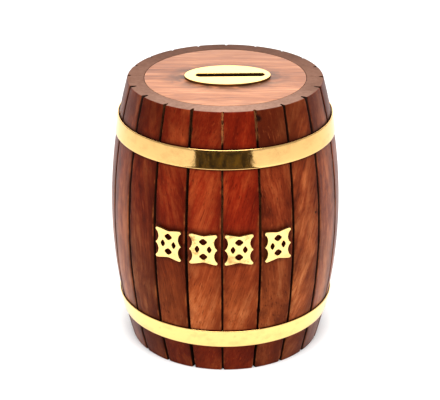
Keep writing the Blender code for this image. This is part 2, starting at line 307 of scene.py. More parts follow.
def bent_grain(g, here, seed, tilt, swirl):
    """Place along a stave's grain, which leans by tilt degrees and wavers by swirl."""
    grain = g.turned(here, (0.0, 1.0, 0.0), radians(tilt))
    grain = g.vector("ADD", grain, (0.031 * seed, 0.017 * seed, 0.213 * seed))
    drift = g.vector("SUBTRACT", g.drift(grain, (30, 30, 14)), (0.5, 0.5, 0.5))
    return g.vector("ADD", g.scaled(drift, (0.006 * swirl, 0.006 * swirl, 0.012 * swirl)), grain)


def stave_wood(name, span, seed, tone, red, tilt, swirl, low_tone, high_tone, knots=()):
    """Varnished stave: fibres, broad figure and pores along a grain that leans by tilt degrees.

    tone scales the colour, low_tone the browner wood below the middle and high_tone the wood above
    the upper hoop; red (0-1) turns it from tan brown to deep red, and swirl bends the figure.
    """
    azimuth, low_side, high_side = span
    from_front = abs(azimuth_gap(0.0, azimuth))
    g = Graph(name)
    here = g.turned(g.place(), UP, -radians(azimuth))
    height = g.parts(g.place())[2]
    bent = bent_grain(g, here, seed, tilt, swirl)
    broad = g.noise(bent, (90, 90, 16), 3.0, 0.55)
    figure = g.noise(bent, (330, 330, 36), 3.0, 0.6)
    mottle = g.noise(bent, (260, 260, 170), 3.0, 0.7)
    fibre = g.noise(bent, (1500, 1500, 55), 2.0, 0.6)
    pores = g.noise(bent, (2400, 2400, 150), 1.0, 0.5)
    flecks = g.noise(bent, (1300, 1300, 90), 2.0, 0.7)
    blotch = g.noise(here, (55, 55, 34), 2.0, 0.5)
    mixed = g.blend((broad, 0.42), (figure, 0.36), (mottle, 0.22))
    deep = [tone * v for v in (0.075 + 0.035 * red, 0.0150 - 0.0110 * red, 0.0036 - 0.0028 * red)]
    middle = [tone * v for v in (0.22 + 0.03 * red, 0.050 - 0.038 * red, 0.0125 - 0.0105 * red)]
    light = [tone * v for v in (0.42 - 0.02 * red, 0.130 - 0.078 * red, 0.0400 - 0.0300 * red)]
    low_wood_and_bounce = [[low_tone * v for v in colour] for colour in LOW_WOOD_AND_BOUNCE]
    high_spread, low_spread, blotched = SIDE_FIGURE if from_front > SIDE_AZIMUTH else FRONT_FIGURE

    # The wood: red under thick varnish; browner lower down, partly its own tone and partly painted bounce
    # light from the floor; dark again at the foot as painted shade.
    colour = figured(g, mixed, high_spread, (deep, middle, light))
    low = g.times(g.span(height, BROWN_FROM, BROWN_FULL), g.span(height, FOOT_FULL, FOOT_FROM))
    colour = g.mix(g.times(low, 0.75), colour, figured(g, mixed, low_spread, low_wood_and_bounce))
    colour = g.mix(g.times(g.span(height, FOOT_FROM, FOOT_FULL), 0.50), colour, shade(FOOT_SHADE, tone))
    above = g.span(height, HOOP_EDGES[1][0], HOOP_EDGES[1][1])
    colour = g.mix(above, colour, rgb(high_tone, high_tone, high_tone), "MULTIPLY")
    colour = g.mix(g.span(fibre, 0.35, 0.65), colour, rgb(*FIBRE_TINT), "MULTIPLY")
    colour = g.mix(g.times(g.span(pores, 0.62, 0.72), 0.55), colour, shade(deep, 0.25))
    colour = g.mix(g.span(flecks, 0.60, 0.72, 0.0, 0.40), colour, rgb(*light))
    colour = g.mix(g.span(blotch, 0.42, 0.68, 0.0, blotched), colour, shade(deep, 0.8))

    # Darkening beside the joints, painted shade beside the hoops, painted shadow round the ornaments, and the
    # knots.
    patchy = g.span(g.noise(here, (120, 120, 60), 3.0, 0.6), 0.36, 0.62)
    colour = g.mix(g.times(g.times(g.attribute("beside"), patchy), 0.60), colour, shade(deep, 0.45))
    colour = g.mix(shadowed(g, height), colour, shade(deep, 0.30))
    wrap = azimuth - azimuth_gap(0.0, azimuth)
    # painted shadow round each ornament near this stave
    for place in ORNAMENTS.values():
        if low_side - ORNAMENT_SHADOW_REACH < place[0] + wrap < high_side + ORNAMENT_SHADOW_REACH:
            colour = g.mix(g.times(ornament_shadow(g, *place), 0.72), colour, shade(deep, 0.30))
    for spot in knots:
        colour = g.mix(g.times(knot(g, *spot), 0.9), colour, rgb(*KNOT_COLOUR))

    # The groove: worn bare along its lip, dark inside, with crumbled filler where it is choked.
    groove = g.attribute("groove")
    lip = g.times(g.span(groove, 0.12, 0.42), g.span(groove, 0.80, 0.50))
    worn = g.times(lip, g.span(g.noise(here, (90, 90, 160), 3.0, 0.6), 0.52, 0.68))
    colour = g.mix(g.times(worn, 0.40), colour, rgb(*WORN_LIP))
    crumbled = g.span(g.noise(here, (700, 700, 330), 3.0, 0.65), 0.40, 0.56)
    inside = g.mix(g.times(g.attribute("filler"), crumbled), rgb(*GROOVE_INSIDE), rgb(*FILLER))
    colour = g.mix(g.span(groove, 0.55, 0.95), colour, inside)

    rough = g.span(g.blend((fibre, 0.5), (blotch, 0.5)), 0.3, 0.7, 0.30, 0.44)
    rough = g.math("ADD", rough, g.times(groove, 0.4), clamp=True)
    relief = g.math("SUBTRACT", g.blend((fibre, 0.45), (figure, 0.9)), g.span(pores, 0.60, 0.74, 0.0, 0.5))
    grain_bump = g.bump(relief, 0.00006, 0.7)
    wobble = g.bump(g.noise(here, (70, 70, 45), 2.0), 0.0006, 0.35, grain_bump)
    gloss = 1.1 if from_front < GLOSSY_AZIMUTH else 1.2
    return g.finish(base_color=colour, roughness=rough, IOR=gloss, normal=wobble)


def bare_wood(name, dark, middle, light, scales, rough=(0.42, 0.58), gloss=1.22, tinted=False, plate_shade_and_stains=None):
    """Unvarnished or thinly sealed wood whose grain runs along the axis with the smallest scale.

    tinted wood is multiplied by its mesh's tint, a painted sheen and shade. The last argument is a plate
    lying on it, as middle x, y and half sizes: painted shadow darkens the wood round the plate; the wood is
    also stained in streaks and a little darker towards the back.
    """
    g = Graph(name)
    here = g.place()
    bent = g.vector("ADD", g.scaled(g.drift(here, (60, 60, 60)), (0.0022, 0.0022, 0.0022)), here)
    broad = g.noise(bent, [v * 0.16 for v in scales], 3.0, 0.55)
    figure = g.noise(bent, scales, 3.0, 0.65)
    fine = g.noise(bent, [v * 3.0 for v in scales], 2.0, 0.6)
    mixed = g.blend((broad, 0.4), (figure, 0.35), (fine, 0.25))
    colour = g.ramp(mixed, [(0.36, dark), (0.5, middle), (0.62, light)])
    if tinted:
        colour = g.mix(1.0, colour, g.node("Attribute", attribute_name="tint").outputs["Color"], "MULTIPLY")
    if plate_shade_and_stains:
        x, y, half_x, half_y = plate_shade_and_stains
        beyond = g.scaled(g.vector("SUBTRACT", here, (x, y, 0.0)), (1 / half_x, 1 / half_y, 0.0))
        away = g.node("VectorMath", {0: beyond}, operation="LENGTH").outputs["Value"]
        patchy = g.span(g.noise(here, (150, 220, 1), 3.0, 0.6), 0.38, 0.54)
        # painted shadow round the plate
        plate_shadow = g.times(g.span(away, 1.60, 1.0), patchy)
        colour = g.mix(g.times(plate_shadow, 0.80), colour, rgb(*PLATE_SHADOW))
        stains = g.span(g.noise(here, (38, 110, 1), 3.0, 0.65), 0.50, 0.70, 0.0, 0.45)
        colour = g.mix(stains, colour, shade(dark, 1.3))
        far = g.span(g.parts(here)[1], BEHIND_FROM, BEHIND_FULL, 0.0, 0.32)
        colour = g.mix(far, colour, shade(dark, 1.2))
    relief = g.bump(g.blend((figure, 0.6), (fine, 0.4)), 0.00008, 0.6)
    return g.finish(base_color=colour, roughness=g.span(fine, 0.3, 0.7, *rough), IOR=gloss, normal=relief)


# ---------------- metal
def brass(name, colour=(0.97, 0.60, 0.215), tarnish=(0.62, 0.30, 0.10), amount=0.35,
          brushed=(60, 60, 2600), rough=(0.05, 0.10), waves=0.00010):
    """Lacquered brass: brushed lines along the smallest scale, dull spots and a slow waviness."""
    g = Graph(name)
    here = g.place()
    cloud = g.noise(here, (140, 140, 190), 4.0, 0.62)
    spots = g.noise(here, (420, 420, 420), 3.0, 0.6)
    lines = g.noise(here, brushed, 2.0, 0.6)
    dull = g.times(g.span(cloud, 0.50, 0.72), amount)
    dull = g.math("ADD", dull, g.span(spots, 0.66, 0.74, 0.0, amount * 0.8), clamp=True)
    tone = g.mix(dull, rgb(*colour), rgb(*tarnish))
    tone = g.mix(g.span(g.attribute("edge"), 0.2, 1.0, 0.0, 0.45), tone, rgb(0.50, 0.27, 0.09))
    finish = g.math("ADD", g.span(lines, 0.3, 0.7, *rough), g.times(dull, 0.35), clamp=True)
    slow = g.bump(g.noise(here, (45, 45, 60), 2.0, 0.4), waves, 0.5)
    dents = g.bump(g.noise(here, (380, 380, 380), 3.0, 0.55, 0.6), 0.00003, 1.0, slow)
    fine = g.bump(lines, 0.000006, 0.5, dents)
    return g.finish(base_color=tone, metallic=1.0, roughness=finish, normal=fine)


# ---------------- mesh helpers
SHARP = 38.0                # degrees between faces above which an edge isn't shaded smooth
HOLE_RADIUS = 1.8 * MM      # clearance round a screw


def new_object(name, data):
    made = bpy.data.objects.new(name, data)
    bpy.context.scene.collection.objects.link(made)
    return made


def add_piece(name, bm, materials, body, node, sharp=SHARP):
    """Finish a bmesh as a named piece that rides on a body and stands for a CAD node."""
    bmesh.ops.recalc_face_normals(bm, faces=bm.faces[:])
    if bm.calc_volume(signed=True) < 0:
        bmesh.ops.reverse_faces(bm, faces=bm.faces[:])
    mesh = bpy.data.meshes.new(name)
    bm.to_mesh(mesh)
    bm.free()
    for material in materials:
        mesh.materials.append(material)
    mesh.shade_smooth()
    mesh.set_sharp_from_angle(angle=radians(sharp))
    piece = new_object(name, mesh)
    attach(piece, body)
    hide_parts(node)
    return piece


def darken_walls(piece, axis, material):
    """Give a thin piece's side walls their own, duller material."""
    piece.data.materials.append(material)
    for face in piece.data.polygons:
        if abs(face.normal.dot(axis)) < 0.5:
            face.material_index = len(piece.data.materials) - 1
    return piece


def bevel(piece, width, segments=3, angle=40.0):
    """Round a piece's edges sharper than angle."""
    made = piece.modifiers.new("edge", "BEVEL")
    made.width = width
    made.segments = segments
    made.limit_method = "ANGLE"
    made.angle_limit = radians(angle)
    made.harden_normals = True
    made.loop_slide = False
    return made


def skin(bm, sections):
    """Quads between a run of equally long vertex rings; returns the two end faces."""
    count = len(sections[0])
    for one, other in zip(sections, sections[1:]):
        for i in range(count):
            j = (i + 1) % count
            bm.faces.new((one[i], one[j], other[j], other[i]))
    return [bm.faces.new(sections[0]), bm.faces.new(sections[-1])]


def plate_mesh(outlines, z_low, z_high):
    """A flat plate between two heights: the first outline is its edge, the rest are holes."""
    bm = bmesh.new()
    edges = []
    for outline in outlines:
        ring = [bm.verts.new((x, y, z_low)) for x, y in outline]
        edges += [bm.edges.new((a, b)) for a, b in zip(ring, ring[1:] + ring[:1])]
    filled = bmesh.ops.triangle_fill(bm, use_beauty=True, use_dissolve=False, edges=edges)
    faces = [f for f in filled["geom"] if isinstance(f, bmesh.types.BMFace)]
    raised = bmesh.ops.extrude_face_region(bm, geom=faces)
    bmesh.ops.translate(bm, vec=(0, 0, z_high - z_low),
                        verts=[v for v in raised["geom"] if isinstance(v, bmesh.types.BMVert)])
    return bm


def arc(radius, start, sweep, steps, centre=(0.0, 0.0)):
    """Points of an arc, both ends included; radians."""
    angles = [start + sweep * i / steps for i in range(steps + 1)]
    return [(centre[0] + radius * cos(a), centre[1] + radius * sin(a)) for a in angles]


def circle(radius, steps, centre=(0.0, 0.0)):
    return arc(radius, 0.0, 2 * pi, steps, centre)[:-1]


def turned_about(points, centre, turn):
    c, s = cos(radians(turn)), sin(radians(turn))
    return [(centre[0] + x * c - y * s, centre[1] + x * s + y * c) for x, y in points]


def lathe(profile, steps, place):
    """A bmesh turned about Z from (radius, z) points that start and end on the axis, then placed."""
    bm = bmesh.new()
    rings = [[bm.verts.new((x, y, z)) for x, y in (circle(r, steps) if r else [(0.0, 0.0)])]
             for r, z in profile]
    for low, high in zip(rings, rings[1:]):
        for i in range(steps):
            j = (i + 1) % steps
            corners = [low[i % len(low)], low[j % len(low)], high[j % len(high)], high[i % len(high)]]
            bm.faces.new(list(dict.fromkeys(corners)))
    bm.transform(place)
    return bm


# ---------------- staves
# How wide, deep and choked with old filler (0-1) the relieved groove is at each joint, against
# GROOVE_WIDTH and GROOVE_DEPTH, starting at the front joint, towards +X.
GROOVES = ((0.70, 0.50, 0.9), (0.85, 0.80, 0.55), (0.95, 1.0, 0.0), (1.25, 1.1, 0.0), (1.10, 1.1, 0.0),
           (1.0, 0.8, 0.1), (0.9, 0.7, 0.0), (0.9, 0.5, 0.3), (0.75, 0.5, 0.0), (0.7, 0.4, 0.4),
           (0.75, 0.5, 0.0), (0.85, 0.5, 0.0), (0.8, 0.45, 0.3), (0.9, 0.6, 0.0), (0.9, 0.7, 0.0),
           (1.0, 0.8, 0.2), (1.15, 1.1, 0.0), (1.30, 1.1, 0.0), (1.0, 1.0, 0.10), (1.05, 1.0, 0.15))
OPEN_SEAMS = (5, 15)        # joints whose seam shows right across the ring
OPEN_HALF_GAP = 0.06 * MM
GROOVE_WIDTH = 1.20 * MM
GROOVE_DEPTH = 2.3 * MM
END_ROUND = 0.35 * MM       # rounding of the stave ends
EDGE_ROUND = 0.30 * MM      # and of the edges along the groove
SEAM_CLOSED = 1.0 * MM      # outside the bore, where neighbours touch and shut out the light
RIPPLE = 0.06 * MM          # unevenness of the turned outside, always inwards
SAW_WANDER = 0.16 * MM      # how far a joint strays from a straight line
TEAR_REACH, TEAR = 1.8 * MM, 0.55 * MM  # near the ends the groove is torn wider by about this
SNAG = 0.9 * MM             # and here and there along it by up to this
THINNEST_GROOVE = 0.12 * MM
CHIP_REACH, CHIP = 1.5 * MM, 0.5 * MM   # near the ends its lip is chipped back by up to this
FILL_ABOVE = (1.6 * MM, 2.8 * MM)       # over the upper hoop, where the filler sets in and is full
FILL_BELOW = (50 * MM, 80 * MM)         # heights where it sets in and is full below the upper hoop
BARE_REACH = 0.2 * MM       # faces no further than this outside a head's seat are unvarnished
SEAT_LOW, SEAT_HIGH = BOTTOM_HEAD_HIGH.z + 0.3 * MM, TOP_HEAD_LOW.z - 0.3 * MM   # inner ends of the seats
SEAT_STEP = 0.05 * MM       # height in which the bore narrows there
STAVE_RINGS = 92            # even spaces between a stave's levels, outside EVEN_FROM of its ends
EVEN_FROM = 2.5 * MM
NEAR_ENDS = (0.0, 0.04, 0.12, 0.22, 0.35, 0.6, 0.9, 1.3, 1.8)      # mm from an end


# Number of the stave on the +azimuth side of the joint nearest the front.
FRONT = min(range(STAVES), key=lambda k: abs(azimuth_gap(0.0, joint_azimuth(k))))


def wander(seed, z, scale):
    """A number that wanders about 0 with height, scale bends per metre."""
    return noise.noise(Vector((seed * 7.31, z * scale, seed * 1.7)))


def from_end(z):
    """Distance to the nearer end of the staves."""
    return min(z, HEIGHT - z)


def groove_side(k, z, side):
    """Half width and depth of joint k's groove at height z, on its +azimuth (1) or -azimuth side."""
    width, depth, _ = GROOVES[(k - FRONT) % STAVES]
    seed = 2 * (k % STAVES) + side
    half = GROOVE_WIDTH / 2 * width * (1 + 0.28 * wander(seed, z, 90) + 0.22 * wander(seed + 50, z, 420))
    torn = max(0.0, wander(seed + 90, z, 700) + 0.25) * fraction(from_end(z), TEAR_REACH, 0.0)
    half += TEAR * torn + SNAG * max(0.0, wander(seed + 130, z, 260) - 0.42)
    depth *= 1 - 0.6 * filled(k, z)
    return max(half, THINNEST_GROOVE), GROOVE_DEPTH * depth * (1 + 0.2 * wander(k % STAVES + 200, z, 120))


def filled(k, z):
    """How far joint k is choked at height z: most above the upper hoop, less below it."""
    share = GROOVES[(k - FRONT) % STAVES][2]
    above = fraction(z - HOOP_EDGES[1][1], *FILL_ABOVE)
    below = fraction(z, *FILL_BELOW) * (z < HOOP_EDGES[1][0] + MM)
    return share * max(above, 0.30 * below)


def joint_line(k, z):
    """Azimuth of joint k at height z: the saw line wanders by a tenth of a millimetre or so."""
    return joint_azimuth(k) + degrees(SAW_WANDER / BELLY_RADIUS) * wander(k % STAVES + 300, z, 38)


def stave_levels():
    """Heights of a stave's sections."""
    levels = {v * MM for v in NEAR_ENDS} | {HEIGHT - v * MM for v in NEAR_ENDS}
    levels |= {SEAT_LOW, SEAT_LOW + SEAT_STEP, SEAT_HIGH - SEAT_STEP, SEAT_HIGH}
    first, last = EVEN_FROM, HEIGHT - EVEN_FROM
    levels |= {first + (last - first) * i / STAVE_RINGS for i in range(STAVE_RINGS + 1)}
    return sorted(levels)


LEVELS = stave_levels()


# Painted sheen and shade on the end grain, light at the front of the ring and dark at its back:
# azimuth from the front, tint.
RING_SHEEN_AND_SHADE = ((0, (0.88, 0.89, 0.90)), (36, (0.66, 0.64, 0.64)), (88, (0.46, 0.385, 0.355)),
              (180, (0.29, 0.225, 0.20)))


def ring_sheen_and_shade(azimuth):
    away = abs(azimuth_gap(0.0, azimuth))
    for (a, one), (b, other) in zip(RING_SHEEN_AND_SHADE, RING_SHEEN_AND_SHADE[1:]):
        if a <= away <= b:
            f = (away - a) / (b - a)
            return tuple(p * (1 - f) + q * f for p, q in zip(one, other))
    return RING_SHEEN_AND_SHADE[-1][1]


def joint_points(k, z, side, outer):
    """The points of a section from joint k outwards to the face, on its +azimuth (1) or -azimuth side.

    Each is (azimuth, radius, groove stain, darkening beside the groove, filler).
    """
    half, depth = groove_side(k, z, side)
    inner = inner_radius(z)
    seed = 3 * (k if side == 1 else k - 1) + side + 500
    chip = CHIP * max(0.0, wander(seed, z, 500)) * fraction(from_end(z), CHIP_REACH, 0.0)
    gap = OPEN_HALF_GAP if (k - FRONT) % STAVES in OPEN_SEAMS else 0.0
    rows = (                # shift from the joint, radius, groove stain, darkening beside the groove
        (0.0, inner, 0.6, 1), (0.0, inner + 0.8 * MM, 1.0, 1), (gap, inner + SEAM_CLOSED, 1.0, 1),
        (gap, outer - depth, 1.0, 1), (half * 0.45, outer - depth, 1.0, 1),
        (half * 0.80, outer - depth * 0.55, 1.0, 1), (half, outer - EDGE_ROUND, 0.9, 1),
        (half + 0.09 * MM, outer - 0.09 * MM - chip, 0.62, 1),
        (half + EDGE_ROUND, outer - chip * 0.5, 0.36, 1),
        (half + 0.9 * MM, outer, 0.13, 0.8), (half + 1.9 * MM, outer, 0.0, 0.45))
    azimuth, flip, filler = joint_line(k, z), 1 if side == 1 else -1, filled(k, z)
    return [(azimuth + flip * degrees(shift / radius), radius, stain, beside, filler)
            for shift, radius, stain, beside in rows]


def inner_radius(z):
    return HEAD_SEAT_RADIUS if z <= SEAT_LOW or z >= SEAT_HIGH else BORE_RADIUS


def stave_section(k, z):
    """Closed ring of points of stave k at height z, in joint_points' form."""
    drop = END_ROUND - (END_ROUND ** 2 - max(0.0, END_ROUND - from_end(z)) ** 2) ** 0.5
    outer = outer_radius(z) - drop - RIPPLE * (0.5 + wander(k + 400, z, 60))
    first = joint_line(k, z)
    turns = first + azimuth_gap(first, joint_line(k + 1, z)) - joint_line(k + 1, z)
    left = joint_points(k, z, 1, outer)
    right = [(a + turns, *rest) for a, *rest in joint_points(k + 1, z, 0, outer)]
    a0, a1 = left[-1][0], right[-1][0]
    face = [(a0 + (a1 - a0) * i / 6, outer, 0.0, 0.12 * (i in (1, 5)), 0.0) for i in range(1, 6)]
    last = joint_line(k + 1, z) + turns
    bore = [(last + (first - last) * i / 4, inner_radius(z), 0.3, 0.0, 0.0) for i in range(1, 4)]
    return left + face + right[::-1] + bore


def stave(k, materials):
    """One stave, swept upwards as a closed section with a stained groove along both joints."""
    bm = bmesh.new()
    layers = [bm.verts.layers.float.new(name) for name in ("groove", "beside", "filler")]
    sheen_shade_layer = bm.verts.layers.float_color.new("tint")
    sections = []
    for z in LEVELS:
        ring = []
        for azimuth, radius, *stains in stave_section(k, z):
            vertex = bm.verts.new(around(azimuth, radius, z))
            for layer, stain in zip(layers, stains):
                vertex[layer] = stain
            # painted sheen and shade on the end grain, by azimuth
            vertex[sheen_shade_layer] = (*ring_sheen_and_shade(azimuth), 1.0)
            ring.append(vertex)
        sections.append(ring)
    ends = skin(bm, sections)
    bm.normal_update()      # the caps are cut into triangles by their normals
    for face in bmesh.ops.triangulate(bm, faces=ends)["faces"]:
        face.material_index = 1
    for face in bm.faces:
        centre = face.calc_center_median()
        if hypot(centre.x, centre.y) < HEAD_SEAT_RADIUS + BARE_REACH:
            face.material_index = 1
    node = STAVE_NODES[k]
    return add_piece(f"{node}_turned", bm, materials, "barrel", node, sharp=50.0)


# Each stave from the front joint towards +X: tone, redness, grain tilt (degrees), swirl, and the
# tones of its lower and topmost wood.
STAVE_LOOKS = (
    (0.84, 0.88, -15.0, 1.0, 1.10, 0.98), (0.84, 0.45, 9.0, 3.0, 0.84, 0.42),
    (0.94, 0.30, -20.0, 2.6, 1.18, 0.92), (0.86, 0.25, 3.0, 1.4, 1.02, 1.0),
    (0.82, 0.35, 0.0, 1.0, 0.90, 1.0), (0.88, 0.50, -3.0, 1.2, 0.92, 1.1),
    (0.84, 0.40, 4.0, 1.5, 0.86, 1.0), (0.93, 0.55, -5.0, 1.0, 0.95, 0.9),
    (0.80, 0.35, 2.0, 1.8, 0.84, 1.1), (0.88, 0.45, 6.0, 1.1, 0.92, 0.9),
    (0.82, 0.50, -4.0, 1.4, 0.86, 1.0), (0.93, 0.35, 3.0, 0.9, 0.95, 1.1),
    (0.86, 0.45, -7.0, 1.6, 0.88, 0.9), (0.80, 0.40, 2.0, 1.2, 0.84, 1.0),
    (0.88, 0.30, -2.0, 1.0, 0.92, 0.9), (0.88, 0.25, 2.0, 1.2, 1.0, 0.9),
    (0.90, 0.30, -2.0, 1.0, 1.06, 1.0), (0.56, 0.60, 3.0, 1.6, 0.58, 1.0),
    (0.68, 0.78, 10.0, 2.6, 0.80, 1.05), (0.88, 0.80, -17.0, 1.1, 1.28, 0.78))
# Knots by stave, counted the same way: azimuth, height and radius of each.
KNOTS = {1: [(18.0, 123.8 * MM, 1.9 * MM)], 2: [(50.0, 75.0 * MM, 0.8 * MM)],
         16: [(-70.0, 62.0 * MM, 0.6 * MM)]}
END_GRAIN = bare_wood("end_grain", (0.24, 0.130, 0.088), (0.33, 0.185, 0.130), (0.41, 0.240, 0.172),
                      (420, 420, 420), rough=(0.6, 0.8), gloss=1.1, tinted=True)
for k in range(STAVES):
    place = (k - FRONT) % STAVES
    varnished = stave_wood(f"varnished_{k + 1:02d}", SPANS[k], k + 1, *STAVE_LOOKS[place],
                           knots=KNOTS.get(place, ()))
    stave(k, [varnished, END_GRAIN])


# ---------------- hoops
HOOP_THICKNESS = 0.6 * MM
HOOP_SEAT = 0.12 * MM       # clear of the wood, and of the strip's own inner end at the lap
HOOP_STEPS = 300
LAP_START, LAP = 184.0, 9.0             # azimuth of the strip's inner end, degrees lapped over it
STEP_UP, STEP_MARGIN = 4.0, 1.0         # degrees of climb onto the lap, and where it ends before it
HOOP_DENTS, HOOP_WANDER = 0.05 * MM, 0.10 * MM      # unevenness outwards, and along the barrel
# A strip's section from its lower inside corner round: share of the width, how far out (HOOP_BULGE
# is the whole thickness) and wear of the edge.
HOOP_BULGE = 0.65
HOOP_SECTION = (
    (0.0, 0.15, 1), (0.0, 0.42, 1), (0.015, 0.55, 1), (0.045, 0.60, 0.5), (0.12, 0.62, 0), (0.3, 0.64, 0),
    (0.5, 0.65, 0), (0.7, 0.64, 0), (0.88, 0.62, 0), (0.955, 0.60, 0.5), (0.985, 0.55, 1), (1.0, 0.42, 1),
    (1.0, 0.15, 1), (0.985, 0.03, 1), (0.9, 0.0, 0), (0.5, 0.0, 0), (0.1, 0.0, 0), (0.015, 0.03, 1))


def hoop(node, stand_off, material):
    """A thin strip with rolled edges, its outer end lapped over its inner end.

    stand_off is how much further its upper edge stands out from the staves than its lower edge.
    """
    low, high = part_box(node)
    z_low, z_high = low.z, high.z
    bm = bmesh.new()
    edge_layer = bm.verts.layers.float.new("edge")
    sections = []
    for n in range(HOOP_STEPS + 1):
        s = (360.0 + LAP) * n / HOOP_STEPS
        climb = fraction(s, 360.0 - STEP_MARGIN - STEP_UP, 360.0 - STEP_MARGIN)
        climb = climb * climb * (3 - 2 * climb)
        azimuth = LAP_START + s
        turn = Vector((cos(radians(azimuth)), sin(radians(azimuth)), z_low / MM))
        lift = HOOP_SEAT + climb * (HOOP_THICKNESS + HOOP_SEAT) + HOOP_DENTS * noise.noise(turn * 1.7)
        lean = stand_off * (1 + 0.25 * noise.noise(turn * 1.1 + Vector((5, 0, 0))))
        drift = HOOP_WANDER * noise.noise(turn * 1.3 + Vector((0, 9, 0))) if 0 < n < HOOP_STEPS else 0.0
        ring = []
        for f, out, wear in HOOP_SECTION:
            wood = outer_radius(z_low) * (1 - f) + outer_radius(z_high) * f
            radius = wood + lift + lean * f + out / HOOP_BULGE * HOOP_THICKNESS
            z = z_low + (z_high - z_low) * f + drift * (1 if 0.05 < f < 0.95 else 0.6)
            vertex = bm.verts.new(around(azimuth, radius, z))
            vertex[edge_layer] = wear
            ring.append(vertex)
        sections.append(ring)
    skin(bm, sections)
    return add_piece(f"{node}_strip", bm, [material], "barrel", node, sharp=60.0)


hoop("upper_hoop", 0.28 * MM, brass("hoop_brass"))
# The lower hoop's brass is a lighter, yellower copy of the upper one's: painted brighter reflection of the
# floor.
hoop("lower_hoop", 0.05 * MM, brass("hoop_brass_low", colour=(0.97, 0.67, 0.235)))

NAIL_SKIN = brass("nail_brass", amount=0.6, brushed=(900, 900, 900), rough=(0.16, 0.3))
NAIL_HEAD, NAIL_SHANK = 1.2 * MM, 0.6 * MM      # radii; the head is half a sphere, flattened to half
NAIL_RIM_POINTS = 11                            # of the CAD nail: its crown and the ring under it


def nail(node):
    """A domed nail driven along the CAD nail's axis, its crown where the CAD one's is."""
    points = sorted(vertices(node), key=lambda p: -hypot(p.x, p.y))
    rim, tip = points[:NAIL_RIM_POINTS], points[-1]
    axis = (sum(rim, Vector()) / len(rim) - tip).normalized()
    crown = tip + axis * max((p - tip).dot(axis) for p in points)
    place = Matrix.Translation(crown) @ axis.to_track_quat("Z", "Y").to_matrix().to_4x4()
    profile = [(0.0, 0.0)] + [(x, -0.5 * (NAIL_HEAD - y)) for x, y in arc(NAIL_HEAD, pi / 2, -pi / 2, 8)[1:]]
    profile += [(1.15 * MM, -0.72 * MM), (NAIL_SHANK, -0.75 * MM), (NAIL_SHANK, -3.0 * MM), (0.0, -3.4 * MM)]
    return add_piece(f"{node}_round", lathe(profile, 32, place), [NAIL_SKIN], "barrel", node)


for node in sorted(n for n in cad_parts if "_nail_" in n):
    nail(node)


# ---------------- heads and slot plate
SLOT_EDGE_X, SLOT_EDGE_Y = 17.5 * MM, 3.2 * MM      # the plate's points closer in than this are the slot's


def slot_frame():
    """Middle, length, width and turn (degrees) of the coin slot in the plate."""
    middle = middle_of(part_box("slot_plate"))
    edge = [p for p in vertices("slot_plate")
            if abs(p.y - middle.y) < SLOT_EDGE_Y and abs(p.x - middle.x) < SLOT_EDGE_X]
    xs, ys = [p.x for p in edge], [p.y for p in edge]
    centre = Vector(((max(xs) + min(xs)) / 2, (max(ys) + min(ys)) / 2, 0.0))
    ends = [sum(group, Vector()) / len(group)
            for group in ([p for p in edge if p.x < centre.x], [p for p in edge if p.x > centre.x])]
    turn = atan2(ends[1].y - ends[0].y, ends[1].x - ends[0].x)
    along = [(p - centre).dot((cos(turn), sin(turn), 0.0)) for p in edge]
    across = [(p - centre).dot((-sin(turn), cos(turn), 0.0)) for p in edge]
    return centre.xy, max(along) - min(along), max(across) - min(across), degrees(turn)


SLOT_CENTRE, SLOT_LENGTH, SLOT_WIDTH, SLOT_TURN = slot_frame()
SLOT_MARGIN = 0.8 * MM      # the slot in the wood is this much longer and wider than the plate's
TOP_HEAD_GAP, BOTTOM_HEAD_GAP = 0.20 * MM, 0.12 * MM    # between a head's rim and its seat
PLATE_LOW, PLATE_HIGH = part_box("slot_plate")
PLATE_MIDDLE = middle_of((PLATE_LOW, PLATE_HIGH)).xy
PLATE_HALF = (PLATE_HIGH - PLATE_MIDDLE.to_3d()).xy


def slot(margin=0.0):
    """Outline of the coin slot, longer and wider by margin."""
    right = arc((SLOT_WIDTH + margin) / 2, -pi / 2, pi, 16, ((SLOT_LENGTH - SLOT_WIDTH) / 2, 0.0))
    return turned_about(right + [(-x, -y) for x, y in right], SLOT_CENTRE, SLOT_TURN)


HEAD_WOOD = bare_wood("head_wood", (0.14, 0.043, 0.018), (0.35, 0.127, 0.055), (0.55, 0.246, 0.118),
                      (34, 700, 700), rough=(0.34, 0.50), plate_shade_and_stains=(*PLATE_MIDDLE, *PLATE_HALF))
# Nearly black wood on the top head's side walls: painted shade in the coin slot and in the gap at its rim.
DISC_WALL_SHADE = bare_wood("disc_wall_shade", (0.010, 0.005, 0.003), (0.030, 0.014, 0.008), (0.05, 0.024, 0.014),
                      (300, 300, 900), rough=(0.7, 0.9))
disc = add_piece("top_head_disc",
                 plate_mesh([circle(HEAD_SEAT_RADIUS - TOP_HEAD_GAP, 160), slot(SLOT_MARGIN)],
                            TOP_HEAD_LOW.z, TOP_HEAD_HIGH.z),
                 [HEAD_WOOD], "barrel", "top_head")
bevel(darken_walls(disc, Vector(UP), DISC_WALL_SHADE), 0.20 * MM, 2)

PLATE_SKIN = brass("plate_brass", colour=(0.95, 0.61, 0.165), amount=0.20, brushed=(60, 2200, 60),
                   rough=(0.14, 0.22))
